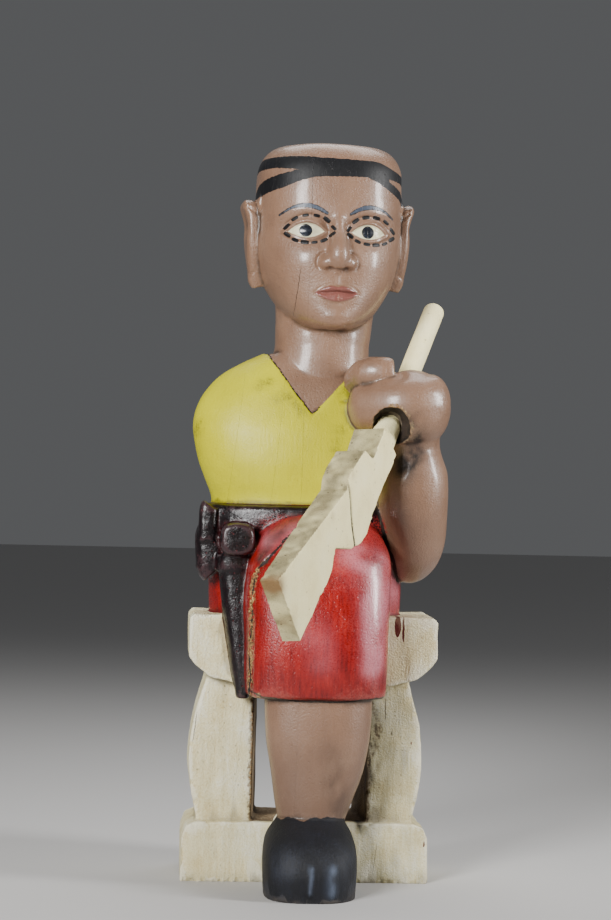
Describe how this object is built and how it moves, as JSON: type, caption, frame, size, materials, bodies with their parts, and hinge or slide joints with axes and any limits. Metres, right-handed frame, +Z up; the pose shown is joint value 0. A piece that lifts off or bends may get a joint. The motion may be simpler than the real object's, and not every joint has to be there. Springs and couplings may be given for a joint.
{
  "type": "vodun statue",
  "caption": "painted carved wooden figure with one arm and one leg, seated on a stool, holding a loose wooden gun through its fist",
  "frame": {"origin": "middle of the flat underside of the stool's base", "axes": "+Z up, the figure faces -Y and its left hand is at +X"},
  "size_m": [0.2028, 0.297, 0.571],
  "materials": {
    "painted_carving": "gloss paint, worn",
    "cream_wood": "thin matt paint on carved wood"
  },
  "bodies": {
    "root": {"seated_figure": "painted_carving", "rifle": "cream_wood"}
  },
  "joints": []
}
